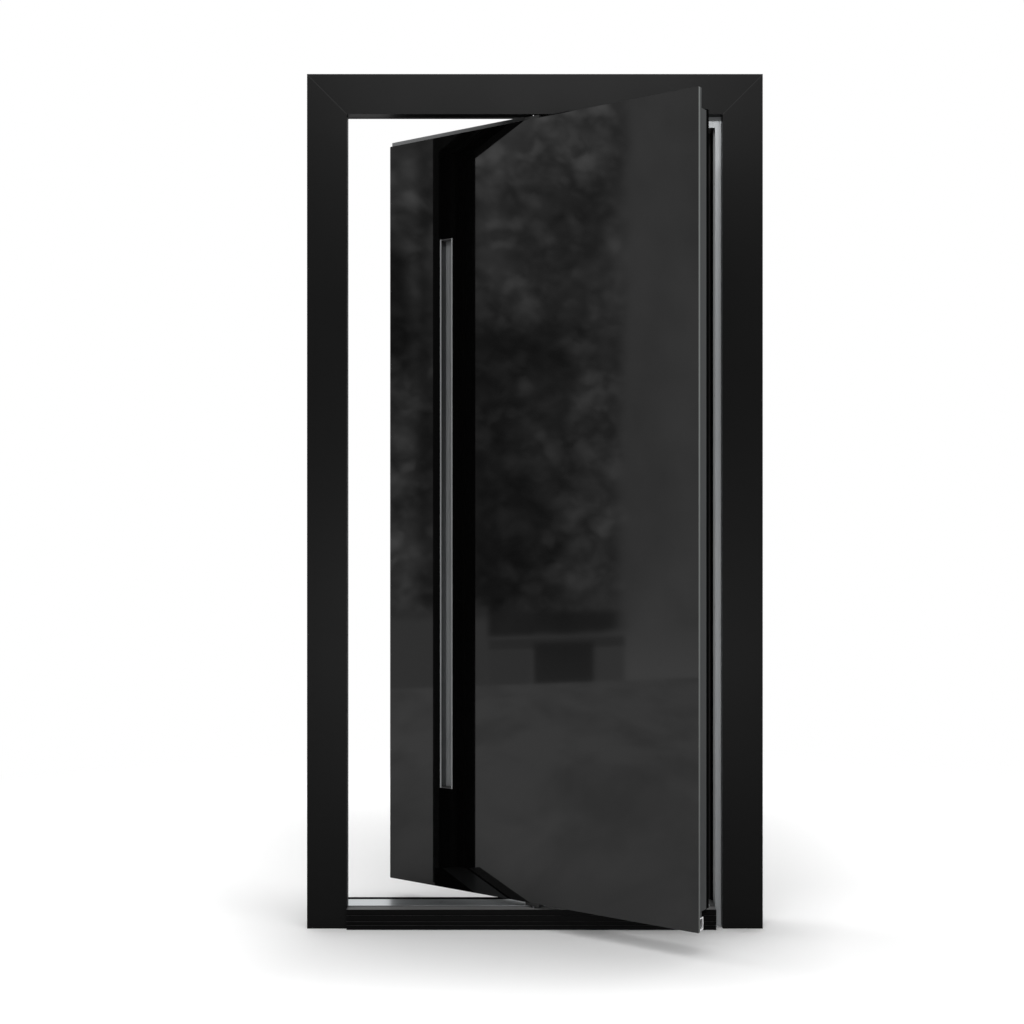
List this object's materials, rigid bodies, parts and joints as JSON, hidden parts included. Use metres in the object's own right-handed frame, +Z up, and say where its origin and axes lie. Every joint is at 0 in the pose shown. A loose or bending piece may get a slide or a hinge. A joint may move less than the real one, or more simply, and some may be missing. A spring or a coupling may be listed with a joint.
{
  "type": "aluminium pivot door",
  "caption": "Aluminium pivot door: mitred black frame with grooved threshold, and one black glass leaf turning on head and sill pins, with a tall recessed pull.",
  "frame": {"origin": "middle of the frame's width, on the plane of its front face, at floor level", "axes": "+X to the right along the frame, +Y from the front face to the back, +Z up"},
  "size_m": [1.28, 0.7078, 2.4],
  "materials": {
    "black_coat": "fine matt powder coat",
    "sill_coat": "matt powder coat with grooves along the front",
    "break_plastic": "glass-filled plastic strip",
    "liner_silver": "satin anodised",
    "tread_silver": "satin anodised",
    "rubber_black": "extruded gasket rubber",
    "pin_steel": "turned steel",
    "shoe_steel": "black steel bracket",
    "glass_black": "polished black glass, opaque",
    "glass_rear": "polished black glass, opaque",
    "carrier_alu": "grey anodised edge",
    "edge_alu": "grey anodised",
    "rail_alu": "grey anodised",
    "flange_silver": "satin anodised",
    "insulation": "rigid foam",
    "hook_alu": "mill finish",
    "pull_alu": "satin anodised",
    "pull_plug": "moulded end plate"
  },
  "bodies": {
    "frame": {"jamb_left_outer": "black_coat", "jamb_left_break": "break_plastic", "jamb_left_inner": "black_coat", "jamb_right_outer": "black_coat", "jamb_right_break": "break_plastic", "jamb_right_inner": "black_coat", "head_outer": "black_coat", "head_break": "break_plastic", "head_inner": "black_coat", "jamb_liner": "liner_silver", "head_liner": "liner_silver", "head_stop": "black_coat", "stop_gasket_jamb": "rubber_black", "stop_gasket_head": "rubber_black", "rear_gasket_jamb": "rubber_black", "sill_front_rail": "sill_coat", "sill_seal": "rubber_black", "sill_tread": "tread_silver", "sill_end_cap": "break_plastic", "sill_rear_strip": "rubber_black", "top_pivot_pin": "pin_steel", "bottom_pivot_pin": "pin_steel"},
    "leaf": {"front_glass": "glass_black", "front_carrier": "carrier_alu", "rear_panel": "glass_rear", "leaf_core": "insulation", "lock_stile": "flange_silver", "pivot_stile": "edge_alu", "top_rail": "rail_alu", "bottom_rail": "rail_alu", "top_flange": "flange_silver", "edge_gasket": "rubber_black", "bottom_seal": "rubber_black", "bottom_hook": "hook_alu", "top_pivot_shoe": "shoe_steel", "bottom_pivot_shoe": "shoe_steel", "front_pull_channel": "pull_alu", "front_pull_caps": "pull_plug", "rear_pull_channel": "pull_alu", "rear_pull_caps": "pull_plug"}
  },
  "joints": [
    {"name": "leaf_pivot", "type": "hinge", "parent": "frame", "child": "leaf", "pos_m": [-0.004, 0.008, 0], "axis": [0, 0, -1], "range_deg": [-35.3, 54.7]}
  ]
}
